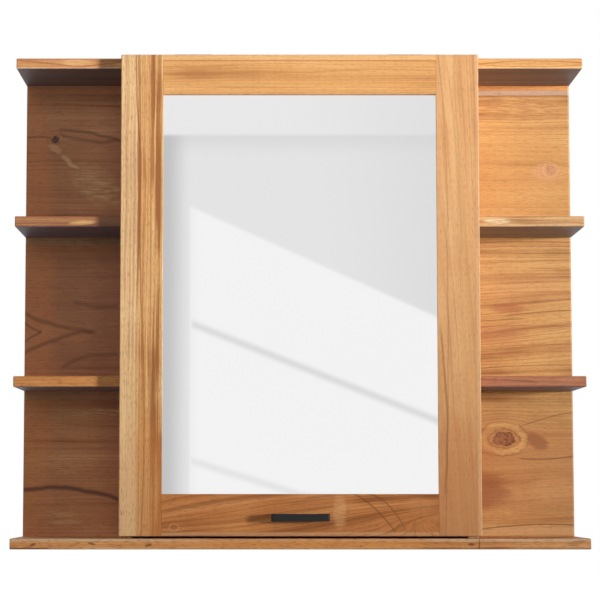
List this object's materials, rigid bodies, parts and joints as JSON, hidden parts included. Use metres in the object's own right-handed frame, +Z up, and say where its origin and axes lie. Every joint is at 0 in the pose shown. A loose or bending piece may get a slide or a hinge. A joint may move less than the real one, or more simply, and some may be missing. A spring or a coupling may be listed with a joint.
{
  "type": "mirror cabinet",
  "caption": "Wall-hung wooden mirror cabinet with a lift-up framed mirror door on gas struts and open shelves on both sides.",
  "frame": {"origin": "middle of the four wall screw holes, on the wall plane", "axes": "+X to the right along the wall, +Y into the wall, +Z up; the door faces -Y"},
  "size_m": [0.8, 0.175, 0.6954],
  "materials": {
    "teak": "oiled solid teak, satin",
    "beech": "raw beech dowel",
    "hardboard": "smooth hardboard",
    "mirror": "silvered float glass",
    "black_metal": "matt black powder coat",
    "steel": "plated steel",
    "black_plastic": "moulded black plastic",
    "clear_rubber": "clear soft bumper"
  },
  "bodies": {
    "carcass": {"back_screws": "steel", "bottom_board": "teak", "box_back": "teak", "carcass_dowels": "beech", "door_bumpers": "clear_rubber", "hinge_case_screws": "steel", "inner_lower_shelf": "teak", "inner_upper_shelf": "teak", "left_bay_back": "teak", "left_hinge_case_leaf": "steel", "left_hinge_pin": "steel", "left_lower_shelf": "teak", "left_strut_case_bracket": "steel", "left_upper_shelf": "teak", "left_upright": "teak", "lower_hanging_rail": "teak", "right_bay_back": "teak", "right_hinge_case_leaf": "steel", "right_hinge_pin": "steel", "right_lower_shelf": "teak", "right_strut_case_bracket": "steel", "right_upper_shelf": "teak", "right_upright": "teak", "shelf_dowels": "beech", "shelf_pins": "steel", "strut_case_screws": "steel", "top_board": "teak", "upper_hanging_rail": "teak"},
    "door": {"door_left_stile": "teak", "door_right_stile": "teak", "door_top_rail": "teak", "door_bottom_rail": "teak", "mirror_glass": "mirror", "mirror_backing": "hardboard", "bead_top": "teak", "bead_bottom": "teak", "bead_left": "teak", "bead_right": "teak", "pull_handle": "black_metal", "handle_screws": "steel", "hinge_door_screws": "steel", "left_hinge_door_leaf": "steel", "right_hinge_door_leaf": "steel", "strut_door_screws": "steel", "left_strut_door_bracket": "steel", "right_strut_door_bracket": "steel"},
    "left_strut_tube": {"left_strut_tube": "black_metal", "left_strut_lower_socket": "black_plastic"},
    "left_strut_rod": {"left_strut_rod": "steel", "left_strut_upper_socket": "black_plastic", "left_strut_upper_ball": "steel"},
    "right_strut_tube": {"right_strut_tube": "black_metal", "right_strut_lower_socket": "black_plastic"},
    "right_strut_rod": {"right_strut_rod": "steel", "right_strut_upper_socket": "black_plastic", "right_strut_upper_ball": "steel"}
  },
  "joints": [
    {"name": "flap_hinge", "type": "hinge", "parent": "carcass", "child": "door", "pos_m": [0, -0.127, 0.34785], "axis": [-1, 0, 0], "range_deg": [0, 90]},
    {"name": "left_strut_swing", "type": "hinge", "parent": "carcass", "child": "left_strut_tube", "pos_m": [-0.219, -0.082, 0.09785], "axis": [1, 0, 0], "range_deg": [0, 15.5]},
    {"name": "left_strut_push", "type": "slide", "parent": "left_strut_tube", "child": "left_strut_rod", "axis": [0, -0.1372, 0.9905], "range_m": [0, 0.056]},
    {"name": "right_strut_swing", "type": "hinge", "parent": "carcass", "child": "right_strut_tube", "pos_m": [0.219, -0.082, 0.09785], "axis": [1, 0, 0], "range_deg": [0, 15.5]},
    {"name": "right_strut_push", "type": "slide", "parent": "right_strut_tube", "child": "right_strut_rod", "axis": [0, -0.1372, 0.9905], "range_m": [0, 0.056]}
  ],
  "couplings": [
    {"joint": "left_strut_swing", "follows": "flap_hinge", "ratio": 0.1715},
    {"joint": "left_strut_push", "follows": "flap_hinge", "m_per_rad": 0.035507},
    {"joint": "right_strut_swing", "follows": "flap_hinge", "ratio": 0.1715},
    {"joint": "right_strut_push", "follows": "flap_hinge", "m_per_rad": 0.035507}
  ]
}
